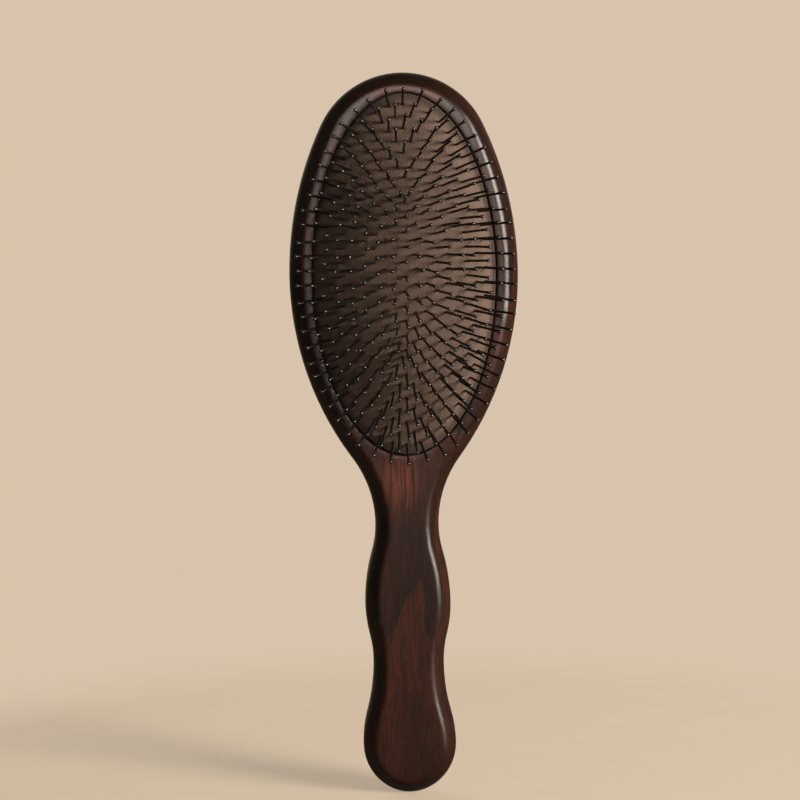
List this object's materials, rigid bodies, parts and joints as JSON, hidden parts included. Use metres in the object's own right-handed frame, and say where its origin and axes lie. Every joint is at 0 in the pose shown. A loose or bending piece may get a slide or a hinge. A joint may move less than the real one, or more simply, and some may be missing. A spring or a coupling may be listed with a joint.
{
  "type": "detangling brush",
  "caption": "Oval cushion hair brush: dark lacquered wood head and handle, domed cloth-faced pad and ball-tipped wire pins that sink when pressed.",
  "frame": {"origin": "middle of the handle's grip, half way between its front face and its back", "axes": "+Z along the handle towards the head, pins point to -Y, +X to the right seen from the pins' side"},
  "size_m": [0.0754, 0.0437, 0.24],
  "materials": {
    "wood": "dark stain under gloss lacquer",
    "cushion": "matte fine-woven cloth bonded to rubber",
    "pin": "black coated wire",
    "tip": "glossy black bead"
  },
  "bodies": {
    "brush": {"wooden_body": "wood", "cushion": "cushion"},
    "ring_1": {"pin_ring_1": "pin", "tip_ring_1": "tip"},
    "ring_2": {"pin_ring_2": "pin", "tip_ring_2": "tip"},
    "ring_3": {"pin_ring_3": "pin", "tip_ring_3": "tip"},
    "ring_4": {"pin_ring_4": "pin", "tip_ring_4": "tip"},
    "ring_5": {"pin_ring_5": "pin", "tip_ring_5": "tip"},
    "ring_6": {"pin_ring_6": "pin", "tip_ring_6": "tip"},
    "ring_7": {"pin_ring_7": "pin", "tip_ring_7": "tip"},
    "ring_8": {"pin_ring_8": "pin", "tip_ring_8": "tip"},
    "middle_row": {"pin_middle_row": "pin", "tip_middle_row": "tip"}
  },
  "joints": [
    {"name": "ring_1_press", "type": "slide", "parent": "brush", "child": "ring_1", "axis": [0, 1, 0], "range_m": [0, 0.000864], "stiffness_N_per_m": 696},
    {"name": "ring_2_press", "type": "slide", "parent": "brush", "child": "ring_2", "axis": [0, 1, 0], "range_m": [0, 0.00174], "stiffness_N_per_m": 624},
    {"name": "ring_3_press", "type": "slide", "parent": "brush", "child": "ring_3", "axis": [0, 1, 0], "range_m": [0, 0.00253], "stiffness_N_per_m": 576},
    {"name": "ring_4_press", "type": "slide", "parent": "brush", "child": "ring_4", "axis": [0, 1, 0], "range_m": [0, 0.00323], "stiffness_N_per_m": 528},
    {"name": "ring_5_press", "type": "slide", "parent": "brush", "child": "ring_5", "axis": [0, 1, 0], "range_m": [0, 0.00384], "stiffness_N_per_m": 456},
    {"name": "ring_6_press", "type": "slide", "parent": "brush", "child": "ring_6", "axis": [0, 1, 0], "range_m": [0, 0.00435], "stiffness_N_per_m": 408},
    {"name": "ring_7_press", "type": "slide", "parent": "brush", "child": "ring_7", "axis": [0, 1, 0], "range_m": [0, 0.00475], "stiffness_N_per_m": 360},
    {"name": "ring_8_press", "type": "slide", "parent": "brush", "child": "ring_8", "axis": [0, 1, 0], "range_m": [0, 0.00505], "stiffness_N_per_m": 288},
    {"name": "middle_row_press", "type": "slide", "parent": "brush", "child": "middle_row", "axis": [0, 1, 0], "range_m": [0, 0.00516], "stiffness_N_per_m": 132, "deforming": ["cushion"]}
  ],
  "couplings": [
    {"joint": "ring_1_press", "follows": "middle_row_press", "ratio": 0.16721},
    {"joint": "ring_2_press", "follows": "middle_row_press", "ratio": 0.33721},
    {"joint": "ring_3_press", "follows": "middle_row_press", "ratio": 0.49057},
    {"joint": "ring_4_press", "follows": "middle_row_press", "ratio": 0.62637},
    {"joint": "ring_5_press", "follows": "middle_row_press", "ratio": 0.74389},
    {"joint": "ring_6_press", "follows": "middle_row_press", "ratio": 0.84233},
    {"joint": "ring_7_press", "follows": "middle_row_press", "ratio": 0.92076},
    {"joint": "ring_8_press", "follows": "middle_row_press", "ratio": 0.97859}
  ]
}
